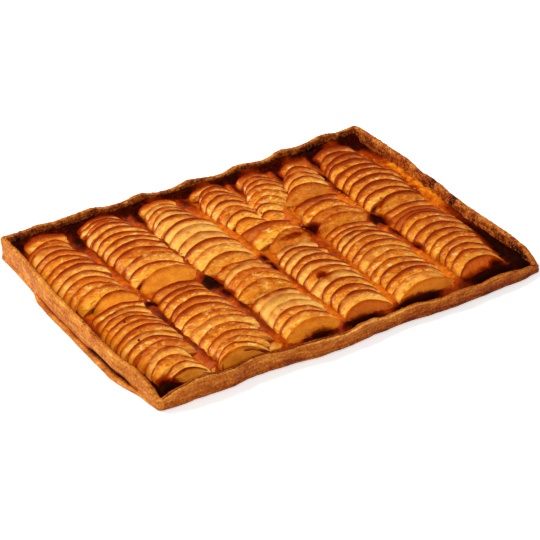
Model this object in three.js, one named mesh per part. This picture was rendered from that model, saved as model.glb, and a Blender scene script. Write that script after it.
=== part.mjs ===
// A long baked apple tart: a pastry case with an uneven raised rim, a layer of dark compote,
// and half apples cut in slices that are pushed over into fans, in six to seven rows.
// Millimetres, +Z up. X runs along the long side, and the rows of slices run along Y.
import * as THREE from "three";
import { mergeVertices } from "three/addons/utils/BufferGeometryUtils.js";

// Pastry case, between its corners
const LENGTH = 400;
const WIDTH = 290;
const BASE_THICKNESS = 5;
const RIM_THICKNESS = 6;
const WALL_FOOT = 7;
const CORNER_RADIUS = 5;
const LEFT_BULGE = 7.5;
const RIGHT_BULGE = 1.5;
const FRONT_BULGE = 4.6;
const FRONT_WAVE = 1;
const BACK_WAVE = 1.6;
const BULGE_START = 22;
const FLANGE_REACH = 4;
const FLANGE_HEIGHT = 4.2;
const FLANGE_ELSEWHERE = 0.15;
const CREASE_HEIGHT = 6;
const CREASE_DEPTH = 2.6;
const LONG_SIDE_STATIONS = 24;
const SHORT_SIDE_STATIONS = 14;
const CORNER_STATIONS = 3;

// Rim heights
const RIM_BACK = 19;
const RIM_LEFT = 23.5;
const RIM_RIGHT = 21.5;
const RIM_FRONT_LEFT = 21;
const RIM_FRONT_RIGHT = 13.6;
const BACK_SCALLOP = 4;
const FRONT_SCALLOP = 1.2;
const SCALLOP_REACH = 16;
const LEFT_CORNER_DIP = 9;
const RIGHT_CORNER_DIP = 5;
const DIP_REACH = 14;
const RIM_WOBBLE = 0.5;
const RIM_FLARE = 0.6;
const RIM_ROUNDING = 1.3;

// Compote
const GAP = 0.35;
const COMPOTE_TOP = 12;
const COMPOTE_SLOPE_REACH = 12;
const LIP_ABOVE_COMPOTE = 1.5;

// Slices
const FAN_BOTTOM = COMPOTE_TOP + GAP;
const SLICE_RISE = 12;
const SLICE_LEAN = 12;
const FIRST_RISE = 7;
const FIRST_LEAN = 2;
const RISE_SHARE = 0.3;
const RISE_WOBBLE = 0.5;
const SHIFT_WOBBLE = 0.9;
const SPACING_WOBBLE = 0.12;
const LONE_SLICE_SPACING = 10;
const STEP_RUN = 0.3;
const STEP_DROP = 0.3;
const DEEPEST_STEP = 3.2;
const ARC_SEGMENTS = 10;
const ROW_CLEARANCE = 0.5;
const FRONT_LIMIT = WALL_FOOT + 2 * GAP - WIDTH / 2;
const VALLEY_WIDTH = 0.965;

// Grooves between the rows, each as [y, x] places from the back to the front
const GROOVES = {
  left: [[145, -192], [0, -198.5], [-145, -192]],
  first: [[145, -138], [-145, -138]],
  second: [[145, -75], [-145, -70]],
  third: [[145, -23], [45, -10], [-145, -9]],
  fourth: [[145, 36], [40, 27]],
  fifth: [[145, 88], [80, 70], [55, 52], [-145, 49]],
  sixth: [[145, 128], [100, 121], [40, 117], [-145, 116]],
  right: [[145, 188], [0, 184], [-145, 180]],
  splitLeft: [[-145, -147]],
  splitRight: [[-145, -132.5]],
  tipLeft: [[-145, -88]],
  tipRight: [[-145, -70]],
};

// Fans: name, grooves on both sides, y of the first and last crest, number of slices, the share
// of the row's width that the first, middle and last slices take up, and the last slices' shift
const FANS = [
  ["row_1_back_fan", "left", "first", 130, 5, 12, [0.74, 1, 0.62], 4],
  ["row_1_front_fan", "left", "first", -15, -130, 13, [0.72, 0.95, 0.62], -1],
  ["row_2_back_fan", "first", "second", 130, 14, 12, [0.72, 0.96, 1], 0],
  ["row_2_front_fan", "first", "second", -9, -130, 12, [0.66, 0.92, 0.58], -8],
  ["row_3_back_fan", "second", "third", 128, 8, 11, [0.72, 0.96, 0.95], 0],
  ["row_3_middle_fan", "second", "third", -10, -48, 5, [0.7, 0.88, 0.86], 0],
  ["row_3_front_fan", "second", "third", -66, -128, 6, [0.8, 0.95, 0.96], 0],
  ["row_4_back_fan", "third", "fourth", 127, 56, 8, [0.68, 0.96, 0.92], 0],
  ["row_5_back_fan", "fourth", "fifth", 126, 57, 8, [0.7, 0.96, 0.92], 0],
  ["row_4_middle_fan", "third", "fifth", 38, 10, 3, [0.86, 0.96, 0.8], 0],
  ["row_4_front_fan", "third", "fifth", -8, -130, 12, [0.8, 0.96, 0.8], 0],
  ["row_5_side_fan", "fifth", "sixth", 121, 74, 5, [0.8, 0.92, 0.9], 0],
  ["row_5_middle_fan", "fifth", "sixth", 54, 11, 4, [0.8, 0.9, 0.9], 0],
  ["row_5_front_fan", "fifth", "sixth", -6, -129, 13, [0.72, 0.96, 0.92], 0],
  ["row_6_back_fan", "sixth", "right", 128, 12, 10, [0.7, 0.96, 0.94], 0],
  ["row_6_front_fan", "sixth", "right", -6, -124, 12, [0.84, 0.86, 0.86], 0],
  ["small_slice_1", "splitLeft", "splitRight", -132, -132, 1, [0.9, 0.9, 0.9], 0],
  ["small_slice_2", "tipLeft", "tipRight", -131, -131, 1, [0.9, 0.9, 0.9], 0],
];

const pastry = new THREE.MeshStandardMaterial({ color: 0xb5742f, roughness: 0.75, metalness: 0 });
const compote = new THREE.MeshStandardMaterial({ color: 0x4a1a0a, roughness: 0.35, metalness: 0 });
const apple = new THREE.MeshStandardMaterial({ color: 0xe39a3c, roughness: 0.4, metalness: 0 });

// A repeatable draw between -1 and 1
function makeDraw(seed) {
  let state = seed;
  return () => {
    state = (state * 1664525 + 1013904223) % 4294967296;
    return (state / 4294967296) * 2 - 1;
  };
}

function smooth(edge0, edge1, value) {
  return THREE.MathUtils.smoothstep(value, edge0, edge1);
}

function between(places, y) {
  if (places.length === 1 || y >= places[0][0]) return places[0][1];
  for (let i = 1; i < places.length; i++) {
    const [y0, x0] = places[i - 1];
    const [y1, x1] = places[i];
    if (y >= y1) return THREE.MathUtils.mapLinear(y, y0, y1, x0, x1);
  }
  return places[places.length - 1][1];
}

// Joins rings of equal length into one closed body; each end is a fan of triangles, round its
// middle or, for a flat ring, round its first point
function loft(rings, roundMiddle) {
  const count = rings[0].length;
  const points = rings.flat();
  const faces = [];
  for (let r = 0; r + 1 < rings.length; r++) {
    for (let j = 0; j < count; j++) {
      const a = r * count + j;
      const b = r * count + ((j + 1) % count);
      faces.push([a, b, b + count], [a, b + count, a + count]);
    }
  }
  const ends = [
    [0, false],
    [(rings.length - 1) * count, true],
  ];
  for (const [start, forward] of ends) {
    let hub = start;
    if (roundMiddle) {
      const ring = points.slice(start, start + count);
      const middle = ring.reduce((sum, p) => sum.add(p), new THREE.Vector3());
      middle.divideScalar(count);
      hub = points.push(middle) - 1;
    }
    for (let j = 0; j < count; j++) {
      const a = start + j;
      const b = start + ((j + 1) % count);
      if (hub === a || hub === b) continue;
      faces.push(forward ? [hub, a, b] : [hub, b, a]);
    }
  }
  return bodyFrom(points, faces);
}

// An indexed geometry whose faces point out
function bodyFrom(points, faces) {
  let volume = 0;
  for (const [a, b, c] of faces) {
    volume += points[a].dot(new THREE.Vector3().crossVectors(points[b], points[c]));
  }
  const index = faces.flatMap(([a, b, c]) => (volume > 0 ? [a, b, c] : [a, c, b]));
  const geometry = new THREE.BufferGeometry().setFromPoints(points);
  geometry.setIndex(index);
  const merged = mergeVertices(geometry, 1e-4);
  merged.computeVertexNormals();
  return merged;
}

// The four sides, counterclockwise from the front, each with its direction and its outer side
const SIDES = [
  makeSide("front", [1, 0], [0, -1]),
  makeSide("right", [0, 1], [1, 0]),
  makeSide("back", [-1, 0], [0, 1]),
  makeSide("left", [0, -1], [-1, 0]),
];

function makeSide(name, along, out) {
  const isLong = along[0] !== 0;
  return {
    name,
    along,
    out,
    half: (isLong ? LENGTH : WIDTH) / 2,
    reach: (isLong ? WIDTH : LENGTH) / 2,
    stations: isLong ? LONG_SIDE_STATIONS : SHORT_SIDE_STATIONS,
  };
}

// Stations round the case: share runs 0 to 1 along a side, and turn 0 to 1 round its end corner
function makeStations() {
  const stations = [];
  for (const side of SIDES) {
    for (let i = 0; i <= side.stations; i++) {
      stations.push({ side, share: i / side.stations, turn: 0 });
    }
    for (let i = 1; i < CORNER_STATIONS; i++) {
      stations.push({ side, share: 1, turn: i / CORNER_STATIONS });
    }
  }
  return stations;
}

// How much each row's end pushes the rim up and out, as a share
function scallopAt(x) {
  const g = GROOVES;
  const edges = [g.left, g.first, g.second, g.third, g.fourth, g.fifth, g.sixth, g.right];
  let sum = 0;
  for (let i = 0; i + 1 < edges.length; i++) {
    const middle = (edges[i][0][1] + edges[i + 1][0][1]) / 2;
    sum += Math.exp(-(((x - middle) / SCALLOP_REACH) ** 2));
  }
  return Math.min(sum, 1);
}

function stationX({ side, share }) {
  return side.along[0] * side.half * (2 * share - 1);
}

function bulgeAt(station) {
  const { side, share } = station;
  const toCorner = Math.min(share, 1 - share) * 2 * side.half;
  const arch = smooth(0, BULGE_START, toCorner);
  const wave = 2 * scallopAt(stationX(station)) - 1;
  if (side.name === "front") return arch * (FRONT_BULGE + FRONT_WAVE * wave);
  if (side.name === "right") return arch * RIGHT_BULGE * Math.sin(2 * Math.PI * share);
  if (side.name === "back") return arch * BACK_WAVE * wave;
  return LEFT_BULGE * smooth(0.08, 0.5, share) * (1 - smooth(0.82, 1, share));
}

// The lower pastry layer that sticks out on the left side, from 0 to 1
function flangeAt({ side, share }) {
  if (side.name !== "left") return FLANGE_ELSEWHERE;
  const stretch = smooth(0.24, 0.3, share) * (1 - smooth(0.84, 0.96, share));
  return THREE.MathUtils.lerp(FLANGE_ELSEWHERE, 1, stretch);
}

function rimHeightAt(station) {
  const { side, share } = station;
  const toStart = share * 2 * side.half;
  const toEnd = (1 - share) * 2 * side.half;
  const x = stationX(station);
  if (side.name === "front") {
    const wave = FRONT_SCALLOP * (2 * scallopAt(x) - 1);
    const slope = RIM_FRONT_RIGHT + (RIM_FRONT_LEFT - RIM_FRONT_RIGHT) * (1 - share) ** 2;
    const leftDip = LEFT_CORNER_DIP * Math.exp(-toStart / DIP_REACH);
    const rightDip = RIGHT_CORNER_DIP * Math.exp(-toEnd / DIP_REACH);
    return slope + wave - leftDip - rightDip;
  }
  if (side.name === "right") {
    const corner = RIM_FRONT_RIGHT - FRONT_SCALLOP - RIGHT_CORNER_DIP;
    const rise = RIM_RIGHT + (corner - RIM_RIGHT) * Math.exp(-toStart / DIP_REACH);
    return rise + RIM_WOBBLE * Math.sin(3 * Math.PI * share);
  }
  if (side.name === "back") {
    const rightBlend = Math.exp(-toStart / DIP_REACH);
    const leftBlend = Math.exp(-toEnd / DIP_REACH);
    const wavy = RIM_BACK + BACK_SCALLOP * scallopAt(x);
    return wavy * (1 - rightBlend - leftBlend) + RIM_RIGHT * rightBlend + RIM_LEFT * leftBlend;
  }
  const corner = RIM_FRONT_LEFT - FRONT_SCALLOP - LEFT_CORNER_DIP;
  const drop = Math.exp(-toEnd / DIP_REACH);
  const wobble = RIM_WOBBLE * Math.sin(2 * Math.PI * share);
  return (RIM_LEFT + wobble) * (1 - drop) + corner * drop;
}

function stationPoint(station, inset, z) {
  const { side, turn } = station;
  const radius = Math.max(CORNER_RADIUS - inset, 1);
  const half = side.half - inset - radius;
  const reach = side.reach - inset - radius;
  const angle = (turn * Math.PI) / 2;
  const alongShare = turn > 0 ? 1 : 2 * station.share - 1;
  const forward = half * alongShare + radius * Math.sin(angle);
  const outward = reach + radius * Math.cos(angle) + bulgeAt(station);
  const x = side.along[0] * forward + side.out[0] * outward;
  const y = side.along[1] * forward + side.out[1] * outward;
  return new THREE.Vector3(x, y, z);
}

// Pastry: up the outside over the flange and its crease, over the rim and down to the floor
function makeCase() {
  const stations = makeStations();
  const layers = [
    () => [RIM_ROUNDING, 0],
    (s) => [-FLANGE_REACH * flangeAt(s), RIM_ROUNDING],
    (s) => [-FLANGE_REACH * 0.9 * flangeAt(s), FLANGE_HEIGHT],
    (s) => [CREASE_DEPTH * flangeAt(s), CREASE_HEIGHT],
    (s) => [0, (CREASE_HEIGHT + rimHeightAt(s)) / 2],
    (s) => [-RIM_FLARE, rimHeightAt(s) - RIM_ROUNDING],
    (s) => [RIM_ROUNDING, rimHeightAt(s)],
    (s) => [RIM_THICKNESS - RIM_ROUNDING, rimHeightAt(s) - RIM_ROUNDING / 2],
    (s) => [RIM_THICKNESS, (rimHeightAt(s) + BASE_THICKNESS) / 2],
    () => [WALL_FOOT, BASE_THICKNESS],
  ];
  const rings = layers.map((layer) =>
    stations.map((station) => {
      const [inset, z] = layer(station);
      return stationPoint(station, inset, z);
    }),
  );
  return loft(rings, true);
}

// Compote: fills the case up to just under the slices, and falls away where the rim is low
function makeCompote() {
  const stations = makeStations();
  const edge = WALL_FOOT + GAP;
  const topAt = (station) => Math.min(COMPOTE_TOP, rimHeightAt(station) - LIP_ABOVE_COMPOTE);
  const rings = [
    stations.map((station) => stationPoint(station, edge, BASE_THICKNESS + GAP)),
    stations.map((station) => stationPoint(station, edge, topAt(station))),
    stations.map((station) => stationPoint(station, edge + COMPOTE_SLOPE_REACH, COMPOTE_TOP)),
  ];
  return loft(rings, true);
}

// One arc of a slice, from its left foot over the crest to its right foot, as a flat ring
function sliceArc([left, right], crestY, arc) {
  const ring = [];
  for (let i = 0; i <= ARC_SEGMENTS; i++) {
    const angle = Math.PI * (i / ARC_SEGMENTS - 0.5);
    const y = crestY - arc.lean * (1 - Math.cos(angle));
    const x0 = between(GROOVES[left], y) + ROW_CLEARANCE;
    const x1 = between(GROOVES[right], y) - ROW_CLEARANCE;
    const half = ((x1 - x0) / 2) * arc.width;
    const room = (x1 - x0) / 2 - half;
    const shift = THREE.MathUtils.clamp(arc.shift, -room, room);
    const x = (x0 + x1) / 2 + shift + half * Math.sin(angle);
    const lift = i === 0 || i === ARC_SEGMENTS ? 0 : arc.rise * Math.cos(angle);
    ring.push(new THREE.Vector3(x, y, FAN_BOTTOM + lift));
  }
  return ring;
}

// A fan: every slice is a crest arc with a lower arc just behind it, where it meets the face of
// the slice behind, so that the slices step down towards the front
function makeFan([name, left, right, from, to, slices, widths, endShift], seed) {
  const draw = makeDraw(seed);
  const rings = [];
  const spacing = slices > 1 ? (from - to) / (slices - 1) : LONE_SLICE_SPACING;
  const run = STEP_RUN * spacing;
  const drop = Math.min(STEP_DROP * spacing, DEEPEST_STEP);
  for (let i = 0; i < slices; i++) {
    const share = slices > 1 ? i / (slices - 1) : 1;
    const risen = smooth(0, RISE_SHARE, share);
    const isInner = i > 0 && i < slices - 1;
    const width =
      share < 0.5
        ? THREE.MathUtils.lerp(widths[0], widths[1], smooth(0, 0.5, share))
        : THREE.MathUtils.lerp(widths[1], widths[2], smooth(0.5, 1, share));
    const crestY = from - i * spacing + (isInner ? SPACING_WOBBLE * spacing * draw() : 0);
    const rise = THREE.MathUtils.lerp(FIRST_RISE, SLICE_RISE, risen) + RISE_WOBBLE * draw();
    const lean = Math.min(SLICE_LEAN, crestY - FRONT_LIMIT);
    const shift = endShift * smooth(0.7, 1, share) + SHIFT_WOBBLE * draw();
    const crest = { lean, rise, width, shift };
    const valley = { ...crest, rise: rise - drop, width: width * VALLEY_WIDTH };
    if (i === 0) valley.lean = FIRST_LEAN;
    rings.push(sliceArc([left, right], crestY + run, valley));
    rings.push(sliceArc([left, right], crestY, crest));
  }
  return loft(rings, false);
}

function addPiece(group, name, geometry, material) {
  const mesh = new THREE.Mesh(geometry, material);
  mesh.name = name;
  group.add(mesh);
}

const tart = new THREE.Group();
addPiece(tart, "pastry_case", makeCase(), pastry);
addPiece(tart, "compote", makeCompote(), compote);
FANS.forEach((fan, i) => addPiece(tart, fan[0], makeFan(fan, 11 + 7 * i), apple));

// The origin is the middle of the underside of the whole tart's box
const box = new THREE.Box3().setFromObject(tart, true);
const middle = box.getCenter(new THREE.Vector3());
tart.position.set(-middle.x, -middle.y, 0);

export default tart;
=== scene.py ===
# %% [markdown]
# # A long baked apple tart
# The tart is a shortcrust case with a raised rim, a layer of dark compote, and half apples that
# are cut in slices and pushed over into fans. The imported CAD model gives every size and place.
# This lesson dresses it: each solid is replaced by a finer piece of the same form, which then
# gets a baked finish made of noise, ramps and bump.

import math

import bmesh
import bpy
from mathutils import Euler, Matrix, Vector, noise


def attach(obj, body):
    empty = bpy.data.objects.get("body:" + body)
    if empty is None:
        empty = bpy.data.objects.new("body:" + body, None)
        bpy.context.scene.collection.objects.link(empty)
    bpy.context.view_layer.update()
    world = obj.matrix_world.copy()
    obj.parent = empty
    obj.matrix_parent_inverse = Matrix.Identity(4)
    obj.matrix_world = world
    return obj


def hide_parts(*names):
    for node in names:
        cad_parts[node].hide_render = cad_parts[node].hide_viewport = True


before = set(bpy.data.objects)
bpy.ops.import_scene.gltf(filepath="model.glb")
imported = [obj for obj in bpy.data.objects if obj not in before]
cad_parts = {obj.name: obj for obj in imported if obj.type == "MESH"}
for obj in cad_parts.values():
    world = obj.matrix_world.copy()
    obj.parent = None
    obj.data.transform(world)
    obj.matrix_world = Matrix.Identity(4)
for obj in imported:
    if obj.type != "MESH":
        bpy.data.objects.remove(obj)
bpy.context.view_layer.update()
MM = 0.001

# %% [markdown]
# ## Small helpers
# The shapes below are worked out in millimetres, in the frame of the four sides of the case, and
# PLACE moves that frame to the middle of the tart's box, as in the CAD. Each random draw comes
# from a repeatable row of numbers, so the tart is the same in every run.

# %% Helpers for numbers
PLACE = Vector((4.7188, 2.0023, 0.0))


def smooth(edge0, edge1, value):
    t = min(max((value - edge0) / (edge1 - edge0), 0.0), 1.0)
    return t * t * (3 - 2 * t)


def window(value, start, full, fade, end):
    """1 between full and fade, and 0 outside start and end."""
    return smooth(start, full, value) * (1 - smooth(fade, end, value))


def mix(a, b, share):
    return a + (b - a) * share


def between(places, y):
    """x at y on a line given as (y, x) places from the back to the front."""
    if len(places) == 1 or y >= places[0][0]:
        return places[0][1]
    for (y0, x0), (y1, x1) in zip(places, places[1:]):
        if y >= y1:
            return mix(x0, x1, (y - y0) / (y1 - y0))
    return places[-1][1]


def make_draw(seed):
    """A repeatable draw between -1 and 1."""
    state = [seed]

    def draw():
        state[0] = (state[0] * 1664525 + 1013904223) % 4294967296
        return state[0] / 4294967296 * 2 - 1

    return draw


def bumps(point, size, seed=0.0):
    """Smooth noise between -1 and 1 whose bumps are about size millimetres wide."""
    return noise.noise(Vector((point[0] + seed, point[1] - seed, point[2])) / size)


# %% [markdown]
# ## The camera
# The tart is seen from its front left corner and from 32 degrees above. The lens is long, so the
# far end is only a little smaller than the near end. The place was found by fitting the four
# corners of the case and the height of its rim.

# %% Camera
CAMERA_ELEVATION, CAMERA_AZIMUTH = 31.6593, -33.0467
CAMERA_PLACE = Vector((-857.35, -1321.41, 965.77))
LENS, SENSOR_WIDTH, FAR_END = 133.333, 36.0, 20.0
camera_data = bpy.data.cameras.new("photo_camera")
camera_data.lens = LENS
camera_data.sensor_width = SENSOR_WIDTH
camera_data.clip_end = FAR_END
camera = bpy.data.objects.new("photo_camera", camera_data)
camera.location = (CAMERA_PLACE + PLACE) * MM
camera.rotation_euler = (math.radians(90 - CAMERA_ELEVATION), 0.0, math.radians(CAMERA_AZIMUTH))
bpy.context.scene.collection.objects.link(camera)
bpy.context.scene.camera = camera
print("camera at", [round(c, 3) for c in camera.location])

# %% [markdown]
# ## Floor and light
# The tart lies on a white surface under soft light from all sides, with a large soft light behind
# it on the left that gives the slices their pale upper left flanks, and a weaker one in front. The
# plain view transform keeps the warm colours as they are mixed.

# %% Floor and light
def link_mesh(name, bm, material=None):
    """A smooth piece with the faces of bm."""
    mesh = bpy.data.meshes.new(name)
    bm.to_mesh(mesh)
    bm.free()
    piece = bpy.data.objects.new(name, mesh)
    bpy.context.scene.collection.objects.link(piece)
    mesh.polygons.foreach_set("use_smooth", [True] * len(mesh.polygons))
    if material:
        mesh.materials.append(material)
    return piece


floor_bm = bmesh.new()
bmesh.ops.create_grid(floor_bm, x_segments=1, y_segments=1, size=4.0)
floor = link_mesh("floor", floor_bm)
floor_finish = bpy.data.materials.new("white_floor")
floor_finish.use_nodes = True
floor_shader = floor_finish.node_tree.nodes["Principled BSDF"]
floor_shader.inputs["Base Color"].default_value = (0.93, 0.98, 1.0, 1)
floor_shader.inputs["Emission Color"].default_value = (1.0, 1.0, 1.0, 1)
floor_shader.inputs["Emission Strength"].default_value = 0.4
floor_shader.inputs["Roughness"].default_value = 0.9
floor_shader.inputs["Specular IOR Level"].default_value = 0.1
floor.data.materials.append(floor_finish)


def add_area_light(name, place, size, power, colour):
    data = bpy.data.lights.new(name, "AREA")
    data.shape = "DISK"
    data.size = size
    data.energy = power
    data.color = colour
    light = bpy.data.objects.new(name, data)
    light.location = place
    light.rotation_euler = (-Vector(place)).to_track_quat("-Z", "Y").to_euler()
    bpy.context.scene.collection.objects.link(light)


add_area_light("key_light", (-0.9, 1.0, 1.5), 0.6, 40.0, (1.0, 0.97, 0.92))
add_area_light("fill_light", (-0.6, -1.7, 1.4), 1.2, 15.0, (1.0, 0.98, 0.94))
world = bpy.data.worlds.new("soft_room")
world.use_nodes = True
background = world.node_tree.nodes["Background"]
background.inputs["Color"].default_value = (1.0, 0.99, 0.98, 1)
background.inputs["Strength"].default_value = 0.37
bpy.context.scene.world = world
bpy.context.scene.view_settings.view_transform = "Standard"

# %% [markdown]
# ## Helpers for finishes
# Every finish reads Object coordinates, which are metres here, so a noise of a given size in
# millimetres has a scale of one over that size. Places that follow the baking, such as the brown
# edge of a slice or a burnt spot, come from attributes that the mesh code paints. The finishes
# share their kinds of nodes, so one class makes these: a method adds a node and gives its output.

# %% Helpers for finishes
WARM_SHINE = (1.0, 0.62, 0.3, 1.0)


def linear(colour):
    """An sRGB colour, given as 0 to 255, as the shader wants it."""
    def channel(c):
        c /= 255
        return c / 12.92 if c <= 0.04045 else ((c + 0.055) / 1.055) ** 2.4

    return tuple(channel(c) for c in colour) + (1.0,)


class Finish:
    """A material; uniform holds numbers for the shader's own sockets."""

    def __init__(self, name, roughness, **uniform):
        self.material = bpy.data.materials.new(name)
        self.material.use_nodes = True
        self.tree = self.material.node_tree
        self.shader = self.tree.nodes["Principled BSDF"]
        self.shader.inputs["Roughness"].default_value = roughness
        for socket, value in uniform.items():
            self.shader.inputs[socket.replace("_", " ")].default_value = value
        self.coords = self.node("TexCoord", {}).outputs["Object"]

    def node(self, kind, sockets):
        """A new node; numbers are set on its sockets, and outputs are linked to them."""
        node = self.tree.nodes.new("ShaderNode" + kind)
        for socket, value in sockets.items():
            if isinstance(value, bpy.types.NodeSocket):
                self.tree.links.new(value, node.inputs[socket])
            else:
                node.inputs[socket].default_value = value
        return node

    def drive(self, socket, value):
        self.tree.links.new(value, self.shader.inputs[socket])

    def noise(self, size_mm, detail, roughness, distortion=0.0, coords=None):
        return self.node("TexNoise", {
            "Vector": self.coords if coords is None else coords, "Scale": 1000.0 / size_mm,
            "Detail": detail, "Roughness": roughness, "Distortion": distortion}).outputs["Fac"]

    def stretch(self, scale):
        """Coordinates with one direction squeezed, for layers and streaks."""
        return self.node("Mapping", {"Vector": self.coords, "Scale": scale}).outputs["Vector"]

    def beside(self, length_mm, waver):
        """Coordinates along a painted length, for wavering marks that fan out from a core."""
        return self.node("CombineXYZ", {
            "X": self.times(length_mm, MM), "Y": self.times(waver, 6 * MM)}).outputs["Vector"]

    def painted(self, name):
        node = self.node("Attribute", {})
        node.attribute_name = name
        return node.outputs["Fac"]

    def maths(self, operation, a, b, clamp=False):
        node = self.node("Math", {0: a, 1: b})
        node.operation = operation
        node.use_clamp = clamp
        return node.outputs["Value"]

    def plus(self, a, b):
        return self.maths("ADD", a, b)

    def times(self, a, b, clamp=False):
        return self.maths("MULTIPLY", a, b, clamp)

    def swing(self, value, amount):
        """Noise that swings round zero instead of round a half, made larger by amount."""
        return self.times(self.maths("SUBTRACT", value, 0.5), amount)

    def remap(self, value, low, high, to_low=0.0, to_high=1.0):
        node = self.node("MapRange", {"Value": value, "From Min": low, "From Max": high,
                                      "To Min": to_low, "To Max": to_high})
        node.interpolation_type = "SMOOTHSTEP"
        return node.outputs["Result"]

    def ramp(self, value, stops):
        """A colour ramp; stops are (place, sRGB colour as 0 to 255)."""
        node = self.node("ValToRGB", {"Fac": value})
        elements = node.color_ramp.elements
        while len(elements) < len(stops):
            elements.new(0.5)
        for element, (place, colour) in zip(elements, stops):
            element.position = place
            element.color = linear(colour)
        return node.outputs["Color"]

    def cover(self, colour, share, paint):
        """A colour covered by share with a paint, an sRGB colour as 0 to 255."""
        node = self.node("Mix", {})
        node.data_type = "RGBA"
        factor, below, above = node.inputs[0], node.inputs[6], node.inputs[7]
        self.tree.links.new(share, factor)
        self.tree.links.new(colour, below)
        above.default_value = linear(paint)
        return node.outputs[2]

    def bump(self, layers):
        """Bumps on top of each other; layers are (height, distance in millimetres, strength)."""
        normal = None
        for height, distance_mm, strength in layers:
            sockets = {"Distance": distance_mm * MM, "Strength": strength, "Height": height}
            if normal:
                sockets["Normal"] = normal
            normal = self.node("Bump", sockets).outputs["Normal"]
        self.drive("Normal", normal)


# %% [markdown]
# ## Baked pastry
# Shortcrust bakes to a caramel tan. It is paler and smoother on the flat sides, and darker, dry
# and crackled along the top and on the inner side of the back rim. A picture of pastry would show
# its edges and repeat, so this finish is mixed from noise. A painted value, bake, says how dark a
# place is, and blotches, grains and thin layers break it up. A second one, crumbly, adds coarse
# flakes where the rim is torn. The value bake also holds a painted highlight that makes the outer
# top edge of the rim paler.

# %% Baked pastry finish
def make_pastry():
    look = Finish("baked_pastry", 0.62, Specular_IOR_Level=0.12, Specular_Tint=WARM_SHINE)
    blotch, grain = look.noise(17, 5, 0.62), look.noise(1.9, 5, 0.75)
    coarse = look.noise(2.6, 4, 0.7)
    layers = look.noise(2.4, 3, 0.5, coords=look.stretch((0.16, 0.16, 1.0)))
    level, crumbly = look.painted("bake"), look.painted("crumbly")
    for pattern, amount in ((blotch, 0.62), (grain, 1.0), (coarse, crumbly), (layers, 0.55)):
        level = look.plus(level, look.swing(pattern, amount))
    colour = look.ramp(level, [
        (0.0, (238, 178, 96)), (0.2, (208, 132, 50)), (0.42, (174, 90, 24)),
        (0.62, (130, 50, 12)), (0.82, (80, 24, 5)), (1.0, (28, 8, 2)),
    ])
    flakes = look.times(crumbly, look.remap(coarse, 0.5, 0.34, 0.0, 0.5))
    look.drive("Base Color", look.cover(colour, flakes, (204, 122, 64)))
    look.drive("Roughness", look.remap(grain, 0.3, 0.7, 0.5, 0.75))
    look.bump([(look.noise(7, 4, 0.6), 0.9, 0.8), (grain, 0.5, 0.9), (layers, 0.5, 0.6)])
    return look.material


pastry = make_pastry()

# %% [markdown]
# ## Dark compote
# The compote is cooked down to a sticky caramel. In the grooves between the rows it is a bright
# orange brown, and in the pockets along the rim it is dark red to nearly black. Next to the walls
# it is darker still, as painted shade. One ramp holds all these colours, and the painted value
# scorch moves a place along it, so that a burnt spot fades into the syrup round it. The lumps
# shine, and what is burnt is dull.

# %% Compote finish
def make_compote():
    look = Finish("caramel_compote", 0.4, Specular_Tint=WARM_SHINE)
    lumps, clouds = look.noise(6, 4, 0.6, 0.6), look.noise(22, 3, 0.5)
    fine = look.noise(1.8, 3, 0.6)
    dark = look.painted("scorch")
    level = dark
    for pattern, amount in ((lumps, 0.6), (clouds, 0.25), (fine, 0.35)):
        level = look.plus(level, look.swing(pattern, amount))
    look.drive("Base Color", look.ramp(level, [
        (0.0, (240, 152, 36)), (0.24, (210, 100, 8)), (0.45, (156, 52, 1)),
        (0.7, (104, 24, 0)), (0.88, (56, 9, 0)), (1.0, (30, 6, 2)),
    ]))
    look.drive("Roughness", look.remap(fine, 0.3, 0.7, 0.2, 0.5))
    gloss = look.times(look.remap(lumps, 0.45, 0.65, 0.03, 0.14),
                       look.remap(dark, 0.5, 0.9, 1.0, 0.15))
    look.drive("Specular IOR Level", gloss)
    look.bump([(lumps, 1.1, 0.8), (fine, 0.35, 0.7)])
    return look.material


compote_finish = make_compote()

# %% [markdown]
# ## Baked apple
# A peeled slice is brown and thin along its outer edge and golden yellow further in. The mesh
# code paints how far each point is from that edge, edge_mm, and from the next slice, gap_mm,
# where syrup gathers and painted shade darkens the face. It also paints a tint and how browned
# each slice is, syrup where its feet stand in the glaze, which also holds painted shade at the
# left ends, open_face on the last slice of a fan, and scorch for the burnt spots. The finish is a
# stack of paints: each one covers the ones before it where its share says so. Some paints are
# painted light: a painted highlight on the pale streaks, and a brighter orange on the open faces.

# %% Baked apple finish
PAINTED = ("edge_mm", "tint", "scorch", "syrup", "along_mm", "browned", "gap_mm", "open_face")


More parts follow.
